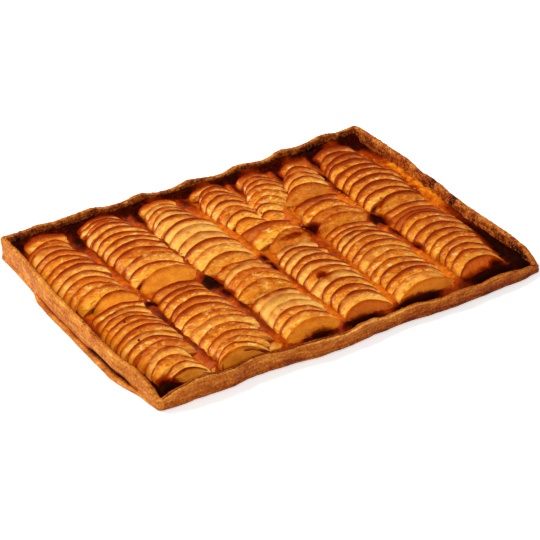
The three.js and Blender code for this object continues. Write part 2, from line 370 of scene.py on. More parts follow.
def make_apple():
    look = Finish("baked_apple", 0.45, Specular_Tint=WARM_SHINE, Subsurface_Weight=0.16,
                  Subsurface_Radius=(1.0, 0.35, 0.08), Subsurface_Scale=0.002)
    blotch, spots = look.noise(14, 4, 0.6), look.noise(4.5, 4, 0.65)
    fine = look.noise(1.4, 3, 0.6)
    streaks = look.noise(3.2, 4, 0.66, 0.6, coords=look.stretch((0.45, 1.0, 1.0)))
    edge, tint, scorch, feet_syrup_and_shade, along, browned, gap, open_face = map(look.painted, PAINTED)
    depth = look.plus(edge, look.plus(look.swing(spots, 3.0), look.swing(blotch, 4.0)))
    dark = look.plus(scorch, look.swing(spots, 0.5))
    rays = look.noise(3.2, 3, 0.6, coords=look.beside(along, streaks))
    share = look.remap
    # painted_highlight is a painted highlight on the brightest parts of the pale streaks, kept off
    # the open faces
    painted_highlight = look.times(share(streaks, 0.45, 0.35, 0.0, 0.9), share(open_face, 0.0, 0.4, 1.0, 0.0))
    red = look.times(share(tint, 0.0, -0.9, 0.0, 0.7), share(open_face, 0.0, 0.5))
    patches = look.times(share(blotch, 0.5, 0.68, 0.0, 0.6), share(open_face, 0.0, 0.5, 1.0, 0.5))
    flecks = look.times(share(streaks, 0.53, 0.66, 0.0, 0.8), share(open_face, 0.0, 0.5, 1.0, 0.25))
    flecks = look.times(flecks, share(tint, 0.1, 0.7, 1.0, 0.3))
    core_rays = look.times(share(rays, 0.45, 0.65, 0.0, 0.6), share(open_face, 0.5, 1.0))
    line = look.times(share(edge, 4.2, 0.9, 0.0, 0.85), share(spots, 0.35, 0.6, 0.4, 1.0))
    paints = [
        (share(streaks, 0.5, 0.36, 0.0, 0.6), (252, 188, 62)),  # pale streaks in the flesh, partly painted highlight
        (painted_highlight, (255, 222, 136)),  # painted highlight on their brightest parts
        (share(tint, 0.0, 0.9, 0.0, 0.8), (255, 196, 92)),  # pale slices
        (share(tint, 0.0, -1.2, 0.0, 0.85), (190, 74, 2)),  # brown slices
        (share(open_face, 0.0, 0.5, 0.0, 0.75), (252, 142, 20)),  # open last faces, a bright orange that is partly painted light
        (red, (206, 76, 3)),  # the reddest of them
        (patches, (196, 82, 3)),  # wide brown patches
        (flecks, (166, 60, 1)),  # brown flecks along the flesh
        (share(feet_syrup_and_shade, 0.0, 1.0, 0.0, 0.85), (164, 84, 12)),  # syrup on the feet, and painted shade at the left ends
        (core_rays, (180, 66, 3)),  # rays from the core
        (look.times(share(depth, 7.0, 1.2, 0.0, 0.85), browned, clamp=True), (170, 60, 2)),  # crests
        (look.times(share(gap, 3.0, 0.3, 0.0, 0.75), browned, clamp=True), (150, 50, 0)),  # painted shade and syrup where the next slice lies on the face
        (look.times(line, browned, clamp=True), (124, 34, 0)),  # the thin outer edge
        (share(dark, 0.1, 0.5), (136, 34, 0)),  # round a burnt spot
        (share(dark, 0.4, 0.95), (52, 6, 0)),  # the burnt spot itself
    ]
    colour = look.ramp(look.maths("DIVIDE", depth, 12.0), [
        (0.0, (192, 80, 3)), (0.15, (210, 98, 6)), (0.35, (228, 122, 14)), (0.6, (242, 148, 28)),
        (0.9, (252, 176, 50)),
    ])
    for covered, paint in paints:
        colour = look.cover(colour, covered, paint)
    look.drive("Base Color", colour)
    look.drive("Roughness", look.remap(spots, 0.38, 0.62, 0.18, 0.55))
    shine = look.times(look.remap(edge, 1.0, 3.5, 0.0, 0.5), look.remap(feet_syrup_and_shade, 0.0, 0.5, 1.0, 0.0))
    look.drive("Specular IOR Level", look.times(shine, look.remap(dark, 0.1, 0.4, 1.0, 0.02)))
    look.bump([(spots, 0.9, 0.7), (streaks, 0.4, 0.6), (fine, 0.3, 0.6)])
    return look.material


apple = make_apple()
print("finishes", pastry.name, compote_finish.name, apple.name)

# %% [markdown]
# ## The outline of the case
# The case is a long rectangle with small corner arcs. Its front side bulges a little at each row
# of fruit, its left side swells in the middle, and a lower layer of pastry sticks out there. The
# same named sizes as in the CAD give the outline and the height of the rim at every place.

# %% Sizes of the case
BASE_THICKNESS, RIM_THICKNESS, WALL_FOOT, CORNER_RADIUS = 5, 6, 7, 5
SIDES = {
    "front": {"along": (1, 0), "out": (0, -1), "half": 200, "reach": 145},
    "right": {"along": (0, 1), "out": (1, 0), "half": 145, "reach": 200},
    "back": {"along": (-1, 0), "out": (0, 1), "half": 200, "reach": 145},
    "left": {"along": (0, -1), "out": (-1, 0), "half": 145, "reach": 200},
}
LEFT_BULGE, RIGHT_BULGE, FRONT_BULGE, BULGE_START = 7.5, 1.5, 4.6, 22
FRONT_WAVE, BACK_WAVE = 1, 1.6
FLANGE_REACH, FLANGE_ELSEWHERE, LEDGE_TOP, CREASE_HEIGHT = 4, 0.15, 3.4, 6
RIM_BACK, RIM_LEFT, RIM_RIGHT, RIM_FRONT_LEFT, RIM_FRONT_RIGHT = 20.6, 23.5, 22, 21, 13.6
BACK_SCALLOP, FRONT_SCALLOP, SCALLOP_REACH = 1.8, 1.2, 16
LEFT_CORNER_DIP, RIGHT_CORNER_DIP, DIP_REACH = 9, 5, 14
RIM_WOBBLE, RIM_FLARE, RIM_ROUNDING = 0.5, 0.6, 1.3
GROOVES = {
    "left": [(145, -192), (0, -198.5), (-145, -192)],
    "first": [(145, -138), (-145, -138)],
    "second": [(145, -75), (-145, -70)],
    "third": [(145, -23), (45, -10), (-145, -9)],
    "fourth": [(145, 36), (40, 27)],
    "fifth": [(145, 88), (80, 70), (55, 52), (-145, 49)],
    "sixth": [(145, 128), (100, 121), (40, 117), (-145, 116)],
    "right": [(145, 188), (0, 184), (-145, 180)],
    "splitLeft": [(-145, -147)],
    "splitRight": [(-145, -132.5)],
    "tipLeft": [(-145, -88)],
    "tipRight": [(-145, -70)],
}
ROW_EDGES = ["left", "first", "second", "third", "fourth", "fifth", "sixth", "right"]


# %% How far each side is pushed out and lifted, as (place along the side, millimetres)
PUSH = {
    "left": [(145, 1.4), (110, 2.1), (60, 1.9), (30, 1.2), (10, 0), (-20, 0.5), (-50, 1.4),
             (-80, 1.6), (-95, 0), (-112, 0), (-130, 2.8), (-145, 2.4)],
    "front": [(194, 2.6), (182, 2.1), (170, 0.9), (158, -0.3), (146, 0.6), (134, 2.8), (110, 2),
              (86, 2.8), (74, 1.9), (62, -0.9), (50, -1), (26, 1), (14, -0.6), (2, 0.6),
              (-10, 3.3), (-22, 4.3), (-34, 3.1), (-58, 0.7), (-82, -0.7), (-94, -3.1),
              (-106, -4.5), (-118, -2.5), (-130, 0.9), (-142, 0), (-154, -1.8), (-166, -2.5),
              (-178, -0.2), (-190, 2.2)],
    "right": [(145, 3), (125, 4), (105, 5), (60, 5.5), (45, 4), (35, 2.5), (20, 3), (10, 3),
              (0, 2), (-10, 0.5), (-25, 0), (-35, -0.8), (-50, -2), (-100, -1.6), (-115, -0.5),
              (-125, 1), (-140, 2.5)],
    "back": [(200, 3.6), (165, 3.6), (150, 0.5), (135, 0)],
}
LIFT = {
    "right": [(145, 1.8), (105, 2), (55, 2), (35, 0.8), (15, 1.4), (-10, 0), (-40, -0.8),
              (-70, -1), (-110, 0)],
    "back": [(200, 1.8), (168, 2.4), (158, 2.1), (138, 2.5), (118, 1.7), (108, 0.5), (98, -1.6),
             (88, -1.6), (58, -0.8), (38, -1.7), (8, -1.6), (-2, 0), (-12, -0.4), (-32, -1.1),
             (-42, -1.6), (-52, 1.3), (-62, 2.6), (-72, 1), (-92, 0), (-102, 0.3), (-112, 1.6),
             (-122, 3.6), (-142, 3.2), (-150, 1.5), (-165, 0.6), (-182, 1.8), (-200, 0)],
}
TALLEST = 25.2


def pushed(x, y):
    """The place of a point after the sides are pushed out or in."""
    left, right = smooth(-160, -188, x), smooth(160, 188, x)
    front, back = smooth(-105, -133, y), smooth(105, 133, y)
    return (x - left * between(PUSH["left"], y) + right * between(PUSH["right"], y),
            y - front * between(PUSH["front"], x) + back * between(PUSH["back"], x))


# %% Outline and rim height
def scallop_at(x):
    """How much the end of a row pushes the rim up and out, from 0 to 1."""
    total = 0.0
    for a, b in zip(ROW_EDGES, ROW_EDGES[1:]):
        middle = (GROOVES[a][0][1] + GROOVES[b][0][1]) / 2
        total += math.exp(-(((x - middle) / SCALLOP_REACH) ** 2))
    return min(total, 1.0)


def station_x(name, share):
    side = SIDES[name]
    return side["along"][0] * side["half"] * (2 * share - 1)


def bulge_at(name, share):
    side = SIDES[name]
    arch = smooth(0, BULGE_START, min(share, 1 - share) * 2 * side["half"])
    wave = 2 * scallop_at(station_x(name, share)) - 1
    if name == "front":
        return arch * (FRONT_BULGE + FRONT_WAVE * wave)
    if name == "right":
        return arch * RIGHT_BULGE * math.sin(2 * math.pi * share)
    if name == "back":
        return arch * BACK_WAVE * wave
    return LEFT_BULGE * window(share, 0.08, 0.5, 0.82, 1)


def flange_at(name, share):
    if name != "left":
        return FLANGE_ELSEWHERE
    return mix(FLANGE_ELSEWHERE, 1, window(share, 0.24, 0.3, 0.84, 0.96))


def rim_height_at(name, share):
    half = SIDES[name]["half"]
    to_start, to_end = share * 2 * half, (1 - share) * 2 * half
    x = station_x(name, share)
    start_blend, end_blend = math.exp(-to_start / DIP_REACH), math.exp(-to_end / DIP_REACH)
    if name == "front":
        wave = FRONT_SCALLOP * (2 * scallop_at(x) - 1)
        slope = RIM_FRONT_RIGHT + (RIM_FRONT_LEFT - RIM_FRONT_RIGHT) * (1 - share) ** 2
        return slope + wave - LEFT_CORNER_DIP * start_blend - RIGHT_CORNER_DIP * end_blend
    if name == "right":
        corner = RIM_FRONT_RIGHT - FRONT_SCALLOP - RIGHT_CORNER_DIP
        rise = RIM_RIGHT + (corner - RIM_RIGHT) * start_blend
        lift = between(LIFT["right"], half * (2 * share - 1))
        return rise + RIM_WOBBLE * math.sin(3 * math.pi * share) + lift
    if name == "back":
        wavy = RIM_BACK + BACK_SCALLOP * scallop_at(x)
        rest = 1 - start_blend - end_blend
        level = wavy * rest + RIM_RIGHT * start_blend + RIM_LEFT * end_blend
        return level + between(LIFT["back"], x)
    corner = RIM_FRONT_LEFT - FRONT_SCALLOP - LEFT_CORNER_DIP
    wobble = RIM_WOBBLE * math.sin(2 * math.pi * share)
    return (RIM_LEFT + wobble) * (1 - end_blend) + corner * end_blend


def station_point(name, share, turn, inset):
    """x and y at a distance inset inside the outline, and the outward direction there."""
    side = SIDES[name]
    radius = max(CORNER_RADIUS - inset, 1.0)
    angle = turn * math.pi / 2
    along_share = 1.0 if turn > 0 else 2 * share - 1
    forward = (side["half"] - inset - radius) * along_share + radius * math.sin(angle)
    outward = side["reach"] - inset - radius + radius * math.cos(angle) + bulge_at(name, share)
    ax, ay = side["along"]
    ox, oy = side["out"]
    point = (ax * forward + ox * outward, ay * forward + oy * outward)
    normal = (ax * math.sin(angle) + ox * math.cos(angle),
              ay * math.sin(angle) + oy * math.cos(angle))
    return pushed(*point), normal


print("rim heights", [round(rim_height_at(n, 0.5), 1) for n in SIDES])

# %% [markdown]
# ## Burnt places
# The oven left dark places on the fruit and the compote: black spots in the grooves, dark pockets
# between the fans and the back rim, and a burnt strip along the right side and the front. Each
# one is a soft spot with its own reach, and noise gives it a ragged edge.

# %% Burnt places: x, y, z, reach in x, reach in y, strength
BURNS = [
    (-71, -18, 13, 8, 11, 1.15), (-68, -41, 13, 6, 8, 1.0), (-67, -62, 13, 4, 16, 0.5),
    (-15, -27, 13, 6, 9, 1.0), (-10, -10, 13, 3.5, 6, 0.8), (-8, -50, 13, 3, 34, 0.3),
    (55, 10, 15, 11, 9, 1.25), (46, 9, 18, 6, 3, 1.0),
    (31, 5, 18, 13, 2.5, 0.8), (120, -9, 13, 8, 11, 1.15), (122, -68, 13, 4, 8, 0.95),
    (120, -38, 13, 5, 12, 0.75), (121, 84, 13, 4, 11, 0.75), (120, 57, 13, 4, 10, 0.75),
    (141, 15, 22, 3, 3, 0.8), (135, 10, 20, 2.2, 3.5, 1.0), (131, 7, 16, 2.2, 3.5, 0.9),
    (155, 14, 23, 7, 2.5, 0.8), (76, -4, 21, 10, 2.5, 0.5), (154, 56, 23, 8, 2.5, 0.8),
    (165, 78, 23, 8, 2.5, 0.7),
    (163, 95, 23, 7, 3, 0.7), (146, 84, 23, 5, 4, 0.5), (-135, -20, 13, 7, 5, 0.8),
    (182, -104, 13, 9, 30, 1.15), (178, -106, 16, 6, 28, 0.9), (186, -132, 13, 12, 14, 1.2),
    (182, -62, 13, 6, 16, 0.8), (186, 60, 13, 3, 60, 0.3), (182, 20, 13, 4, 10, 0.6),
    (7, -141, 14, 17, 5, 1.1), (70, -141, 14, 22, 5, 1.15), (-37, -140, 15, 15, 4.5, 1.2),
    (150, -140, 14, 26, 7, 1.2), (161, -132, 15, 8, 6, 1.2), (-187, -134, 14, 11, 9, 1.2),
    (-133, 134, 14, 15, 11, 0.8), (-138, 112, 13, 6, 22, 0.7), (-70, 135, 14, 13, 11, 0.8),
    (-70, 118, 13, 5, 16, 0.6), (-16, 137, 14, 13, 8, 1.0), (-18, 116, 13, 5, 14, 0.5),
    (38, 135, 14, 12, 9, 1.0), (38, 115, 13, 4, 12, 0.45), (89, 135, 14, 11, 9, 1.0),
    (89, 114, 13, 5, 14, 0.6), (137, 139, 14, 12, 8, 1.1), (134, 120, 13, 5, 14, 0.8),
    (-190, 137, 14, 8, 10, 0.9), (185, 130, 13, 10, 12, 0.8), (13, -71, 22, 6, 5, 1.05),
    (-138, -60, 13, 4, 44, 0.4), (-133, 70, 13, 4, 30, 0.4), (84, 60, 20, 14, 3, 0.7),
    (-40, -60, 18, 24, 2.5, 0.4), (160, 60, 13, 30, 70, 0.06), (48, -30, 13, 4, 40, 0.25),
    (-134, -100, 13, 5, 30, 0.35), (-70, -100, 13, 4, 24, 0.3), (-72, 60, 13, 4, 40, 0.3),
]


# Strong burns climb the slices by a given depth and weak ones less. The burns on top of a slice
# start at ON_TOP and have a height of their own.
CLIMBING, WEAK_CLIMB, ON_TOP, TOP_REACH, STRONG_TOP_REACH = 0.84, 1.8, 16.5, 3.5, 5.5


def scorch_at(point, depth=3.5):
    """How burnt a point is, from 0 to a little over 1."""
    x, y, z = point
    ragged = 1 + 0.45 * bumps(point, 5, 11) + 0.2 * bumps(point, 2.4, 31)
    level = 0.0
    for bx, by, bz, reach_x, reach_y, strength in BURNS:
        climb = depth if strength > CLIMBING else min(depth, WEAK_CLIMB)
        on_top = STRONG_TOP_REACH if strength > 1 else TOP_REACH
        reach_z = climb if bz < ON_TOP else on_top
        away = ((x - bx) / reach_x) ** 2 + ((y - by) / reach_y) ** 2 + ((z - bz) / reach_z) ** 2
        if away < 9:
            level = max(level, strength * math.exp(-away * ragged * 0.8))
    return level


print("burnt places", len(BURNS))

# %% [markdown]
# ## The pastry case
# The case is one wall that runs round the tart. A flat grid is the easiest start: its long
# direction goes round the outline and its short one climbs the outside, crosses the rim and goes
# down to the floor. Each grid point is moved to its place, the two ends are welded, and the holes
# are filled. Thin layers on the side, a ragged top and a crackled inner face come from noise.

# %% Columns and rows of the case
COLUMN_STEP = 2.1
ROW_STEPS = [2, 3, 3, 5, 8, 4, 5, 4, 7]
NOTCHES = [(200, 12, 4, 1.4), (197, -22, 4.5, 1.6)]
GAP_BACK, GAP_FRONT, GAP_DEPTH = -38, -106, 3.4


def case_columns():
    columns = []
    for name, side in SIDES.items():
        count = round(2 * side["half"] / COLUMN_STEP)
        columns += [(name, i / count, 0.0) for i in range(count + 1)]
        columns += [(name, 1.0, i / 5) for i in range(1, 5)]
    return columns


def wall_profile(name, share, y):
    """The wall's section as [inset, z] from the foot outside to the floor inside."""
    flange, rim = flange_at(name, share), rim_height_at(name, share)
    crease, belly = -0.6 * flange, -2.0 * smooth(0.3, 1, flange)
    if name == "left":
        crease += GAP_DEPTH * window(y, GAP_FRONT - 6, GAP_FRONT + 14, GAP_BACK - 14, GAP_BACK + 6)
    return [
        (RIM_ROUNDING, 0), (-FLANGE_REACH * flange, RIM_ROUNDING),
        (-FLANGE_REACH * 0.95 * flange, LEDGE_TOP), (crease, LEDGE_TOP + 1),
        (belly, (CREASE_HEIGHT + rim) / 2 - 2), (-RIM_FLARE, rim - RIM_ROUNDING),
        (RIM_ROUNDING, rim), (RIM_THICKNESS - RIM_ROUNDING, rim - RIM_ROUNDING / 2),
        (RIM_THICKNESS, (rim + BASE_THICKNESS) / 2), (WALL_FOOT, BASE_THICKNESS),
    ]


def profile_point(profile, row):
    """A point of the section at a row of the grid, with the segment it is on."""
    for segment, steps in enumerate(ROW_STEPS):
        if row <= steps:
            (i0, z0), (i1, z1) = profile[segment], profile[segment + 1]
            return mix(i0, i1, row / steps), mix(z0, z1, row / steps), segment + row / steps
        row -= steps
    return profile[-1][0], profile[-1][1], float(len(ROW_STEPS))


# %% Relief of the pastry
def notch_depth(x, y):
    """How deep the burnt notches in the rim are at a place, in millimetres."""
    return sum(depth * math.exp(-((x - nx) ** 2 + (y - ny) ** 2) / reach ** 2)
               for nx, ny, reach, depth in NOTCHES)


def pastry_relief(point, name, stage):
    """How far a point of the case moves out and up, in millimetres."""
    x, y, z = point
    coarse, mid, fine = bumps(point, 16, 3), bumps(point, 5, 40), bumps(point, 2.2, 9)
    outside = 1 - smooth(5, 6, stage)
    top = window(stage, 4.4, 5.4, 7.2, 8.4)
    inside = smooth(7, 8, stage)
    layered = bumps((x * 0.12, y * 0.12, z), 1.5, 21)
    out = outside * (0.35 * coarse + 0.25 * mid + 0.3 * layered + 0.12 * fine)
    out += top * (0.5 * mid + 0.25 * fine)
    out -= inside * (0.7 * mid + 0.45 * fine) * (1.4 if name in ("back", "right") else 0.6)
    up = top * (0.7 * bumps((x, y, 0), 13, 60) + 0.5 * bumps((x, y, 0), 4.5, 5) + 0.2 * fine)
    up -= top * notch_depth(x, y)
    out *= smooth(0, 1.0, z) * smooth(0.1, 1.1, stage + 0.2)
    return out, up


# %% Baking of the pastry
BAKE = {"front": 0.42, "right": 0.4, "back": 0.42, "left": 0.34}
# EDGE_HIGHLIGHT paints a highlight on the outer top edge of the rim; a negative value makes it paler
EDGE_HIGHLIGHT = {"front": -0.14, "right": 0.0, "back": -0.12, "left": -0.08}
INNER_BAKE = {"front": 0.45, "right": 0.14, "back": 0.17, "left": 0.3}
CREASE_STAGE, EDGE_STAGE, TOP_LINE_STAGE, INNER_LINE_STAGE = 3.0, 5.6, 6.3, 7.1


def stripe(stage, middle, width):
    """A soft line that runs round the case at one stage of its section."""
    return math.exp(-((stage - middle) / width) ** 2)


def pastry_bake(point, name, stage, share):
    """How dark the pastry is at a point, from 0 pale to 1 black: mostly its baking, with a paler
    outer top edge as a painted highlight.
    """
    x, y, z = point
    edge = stripe(stage, EDGE_STAGE, 0.5)
    level = BAKE[name] + edge * EDGE_HIGHLIGHT[name] + smooth(6.6, 7.6, stage) * INNER_BAKE[name]
    if name == "front":
        level += 0.1 * smooth(0.35, 0.9, share) + 0.12 * (1 - smooth(2.5, 4.6, stage))
        # Painted highlight: the outer top edge is paler still in the middle of the front
        level -= 0.2 * edge * window(share, 0.3, 0.4, 0.66, 0.8)
        level += 0.55 * (1 - smooth(0.42, 0.55, share)) * stripe(stage, TOP_LINE_STAGE, 0.22)
    if name == "left" and flange_at(name, share) > 0.5:
        gap = window(y, GAP_FRONT - 4, GAP_FRONT + 8, GAP_BACK - 8, GAP_BACK + 4)
        level += 0.3 * stripe(stage, CREASE_STAGE, 0.25)
        level += 0.6 * gap * stripe(stage, CREASE_STAGE, 0.4)
    if name in ("front", "left"):
        level += 0.4 * stripe(stage, INNER_LINE_STAGE, 0.25)
    else:
        mottled = 0.2 * bumps(point, 10, 23) + 0.24 * bumps(point, 3.2, 71)
        level += smooth(5.6, 7, stage) * mottled
    if stage > 6.5:
        level += 0.6 * smooth(7, 8, stage) * scorch_at((x, y, min(z, 14)), 6)
    level += 0.3 * smooth(8.2, 9, stage) + 0.16 * (1 - smooth(0.3, 1.4, stage))
    return level + 0.45 * notch_depth(x, y) * window(stage, 4.6, 5.5, 7.4, 8.4)


# %% Build the case
def make_case():
    columns = case_columns()
    rows = sum(ROW_STEPS)
    bm = bmesh.new()
    bmesh.ops.create_grid(bm, x_segments=len(columns), y_segments=rows, size=1)
    bake_layer = bm.verts.layers.float.new("bake")
    crumbly_layer = bm.verts.layers.float.new("crumbly")
    for vert in bm.verts:
        i = round((vert.co.x + 1) / 2 * len(columns)) % len(columns)
        row = round((vert.co.y + 1) / 2 * rows)
        name, share, turn = columns[i]
        y_here = station_point(name, share, turn, 0)[0][1]
        inset, z, stage = profile_point(wall_profile(name, share, y_here), row)
        (x, y), normal = station_point(name, share, turn, inset)
        out, up = pastry_relief((x, y, z), name, stage)
        vert[bake_layer] = pastry_bake((x, y, z), name, stage, share)
        vert[crumbly_layer] = smooth(5.8, 6.8, stage) if name in ("back", "right") else 0.0
        z = min(max(z + up, 0), TALLEST)
        vert.co = (Vector((x + normal[0] * out, y + normal[1] * out, z)) + PLACE) * MM
    bmesh.ops.remove_doubles(bm, verts=bm.verts, dist=1e-6)
    bmesh.ops.holes_fill(bm, edges=[e for e in bm.edges if e.is_boundary], sides=0)
    bmesh.ops.triangulate(bm, faces=[f for f in bm.faces if len(f.verts) > 4])
    bmesh.ops.recalc_face_normals(bm, faces=bm.faces)
    return link_mesh("pastry_crust", bm, pastry)


crust = make_case()
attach(crust, "root")
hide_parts("pastry_case")
print("case faces", len(crust.data.polygons))

# %% [markdown]
# ## The compote
# The compote is one sheet from wall to wall. Its top is uneven: it swells up in the grooves, where
# the rows of fruit press it out, and sinks where the rim is low. It could be a fluid simulation,
# but a grid that is lifted by noise gives the same cooked surface and keeps the solid's form.

# %% Build the compote
GAP, COMPOTE_TOP, COMPOTE_SLOPE_REACH, LIP_ABOVE_COMPOTE = 0.35, 12, 12, 1.5
GROOVE_SWELL, BACK_BANK, STRIP_SWELL, FRONT_BURN_SWELL = 3.9, 5.5, 2.2, 4.0
FAN_BOTTOM = COMPOTE_TOP + GAP
COMPOTE_EDGE = WALL_FOOT + GAP - 1.2
COMPOTE_COLUMNS, COMPOTE_ROWS = 170, 124


def groove_swell(x, y):
    """How high the compote is pressed up between two rows."""
    nearest = min(abs(x - between(GROOVES[name], y)) for name in ROW_EDGES[1:-1])
    return GROOVE_SWELL * (1 + 0.45 * bumps((x, y, 0), 13, 8)) * math.exp(-(nearest / 5.5) ** 2)


def compote_height(x, y, gaps, edge_top, strip, burnt):
    """The height at a place; gaps are the distances to the four sides, strip is 1 on the burnt
    strip along the right side, and burnt says how burnt the place is."""
    margin, flat = min(gaps.values()), (x, y, 0)
    z = mix(edge_top, COMPOTE_TOP, smooth(0, COMPOTE_SLOPE_REACH, margin))
    z += groove_swell(x, y) * smooth(2, 14, margin) + BACK_BANK * (1 - smooth(2, 12, gaps["back"]))
    z += STRIP_SWELL * strip * (1 + 1.2 * bumps(flat, 7, 5))
    z += 1.0 * bumps(flat, 8, 17) + (0.7 + 1.7 * burnt) * bumps(flat, 4, 51)
    return z + FRONT_BURN_SWELL * min(burnt, 1.0) * window(gaps["front"], 0.5, 3, 7, 15)


def compote_darkness(x, y, gaps, strip, burnt):
    """How far a place is along the ramp of the finish, from 0 orange to 1 black."""
    # shade_by_rim is painted shade: the compote is darker next to the walls, most along the left and
    # right sides
    shade_by_rim = 0.15 if gaps["front"] < 14 else 0.24 if gaps["back"] < 14 else 0.4
    shade_by_rim *= (1 - smooth(3, 12, min(gaps.values()))) * (1 - strip)
    by_back = 0.16 * (1 - smooth(12, 34, gaps["back"]))
    by_left = 0.09 * (1 - smooth(-90, -20, x))
    bits = strip * (0.3 * bumps((x, y, 0), 5, 14) - 0.14)
    darkest = mix(0.92, 1.03, smooth(14, 30, gaps["back"]))
    return min(0.27 + by_left + bits + shade_by_rim + by_back + burnt, darkest)


def make_compote_piece():
    bm = bmesh.new()
    scorch_layer = bm.verts.layers.float.new("scorch")
    bmesh.ops.create_grid(bm, x_segments=COMPOTE_COLUMNS, y_segments=COMPOTE_ROWS, size=1)
    rim_edges = [e for e in bm.edges if e.is_boundary]
    skirt = bmesh.ops.extrude_edge_only(bm, edges=rim_edges)["geom"]
    lowest = {v for v in skirt if isinstance(v, bmesh.types.BMVert)}
    for vert in bm.verts:
        u, v = (vert.co.x + 1) / 2, (vert.co.y + 1) / 2
        shares = {"front": u, "right": v, "back": 1 - u, "left": 1 - v}
        side_x, side_y = ({name: station_point(name, share, 0, COMPOTE_EDGE)[0][axis]
                           for name, share in shares.items()} for axis in (0, 1))
        x, y = mix(side_x["left"], side_x["right"], u), mix(side_y["front"], side_y["back"], v)
        gaps = {"front": y - side_y["front"], "right": side_x["right"] - x,
                "back": side_y["back"] - y, "left": x - side_x["left"]}
        edge_top = min([COMPOTE_TOP] + [
            rim_height_at(name, shares[name]) - LIP_ABOVE_COMPOTE
            for name in gaps if gaps[name] < COMPOTE_SLOPE_REACH])
        strip = smooth(178, 185, x) * window(y, -30, -5, 75, 100)
        burnt = scorch_at((x, y, 13))
        z = compote_height(x, y, gaps, edge_top, strip, burnt)
        vert[scorch_layer] = compote_darkness(x, y, gaps, strip, burnt)
        vert.co = (Vector((x, y, BASE_THICKNESS + GAP if vert in lowest else z)) + PLACE) * MM
    bmesh.ops.holes_fill(bm, edges=[e for e in bm.edges if e.is_boundary], sides=0)
    bmesh.ops.recalc_face_normals(bm, faces=bm.faces)
    return link_mesh("compote_layer", bm, compote_finish)


compote_layer = make_compote_piece()
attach(compote_layer, "root")
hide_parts("compote")
print("compote faces", len(compote_layer.data.polygons))

# %% [markdown]
# ## One slice
# A slice of half an apple is a half moon about 4 mm thick. In a fan it lies on the slice behind
# it like a roof tile, and only a crescent of its face shows under its brown crest. All slices
# start from one blank: a grid, made solid and with a rounded nose, which is then bent into place.
# The grid has few faces, because the tart has about 150 slices.

# %% Slice blank
ARC_LENGTH, FACE_LENGTH, SLICE_THICKNESS, NOSE = 72.0, 20.0, 3.4, 0.5
ARC_STEPS, FACE_STEPS, SHARP_ANGLE = 20, 6, math.radians(30)


def make_slice_blank():
    bm = bmesh.new()
    bmesh.ops.create_grid(bm, x_segments=ARC_STEPS, y_segments=FACE_STEPS, size=0.5)
    bmesh.ops.scale(bm, vec=(ARC_LENGTH, FACE_LENGTH, 1), verts=bm.verts)
    bmesh.ops.translate(bm, vec=(0, FACE_LENGTH / 2, 0), verts=bm.verts)
    bmesh.ops.solidify(bm, geom=bm.faces[:], thickness=SLICE_THICKNESS)
    top = max(v.co.z for v in bm.verts)
    bmesh.ops.translate(bm, vec=(0, 0, -top), verts=bm.verts)
    crest = [e for e in bm.edges if all(abs(v.co.y) < 1e-4 for v in e.verts)
             and abs(e.verts[0].co.z - e.verts[1].co.z) < 1e-4]
    bmesh.ops.bevel(bm, geom=crest, offset=NOSE, segments=2, profile=0.5,
                    affect="EDGES", material=-1)
    bmesh.ops.recalc_face_normals(bm, faces=bm.faces)
    for edge in bm.edges:
        edge.smooth = edge.calc_face_angle(0.0) < SHARP_ANGLE
    mesh = bpy.data.meshes.new("slice_blank")
    bm.to_mesh(mesh)
    bm.free()
    return mesh


slice_blank = make_slice_blank()
print("slice faces", len(slice_blank.polygons))
